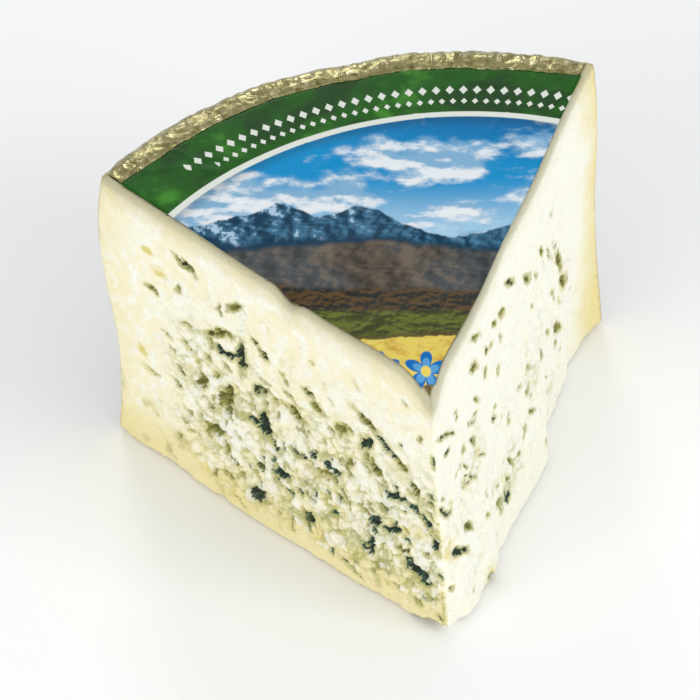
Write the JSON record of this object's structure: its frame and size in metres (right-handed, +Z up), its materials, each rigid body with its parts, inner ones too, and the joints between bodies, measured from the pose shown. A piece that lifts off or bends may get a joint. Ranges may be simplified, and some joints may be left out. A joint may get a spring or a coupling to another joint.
{
  "type": "blue cheese wedge",
  "caption": "Wedge cut from a round blue-veined cheese, with crinkled wrapping foil on its base, round side and top, and a printed label on the top.",
  "frame": {"origin": "centre of the bounding rectangle of the base, on the surface the wedge stands on", "axes": "+Z up, the tip towards -Y, the wedge's middle line along +Y and the round side facing +Y"},
  "size_m": [0.1138, 0.105, 0.08],
  "materials": {
    "cheese_paste": "moist, crumbly ivory paste with blue-green mould pockets and a tan rind",
    "wrapping_foil": "crinkled olive-gold foil with a leaf-vein print",
    "printed_label": null
  },
  "bodies": {
    "root": {"cheese": "cheese_paste", "foil_wrap": "wrapping_foil", "label": "printed_label"}
  },
  "joints": []
}
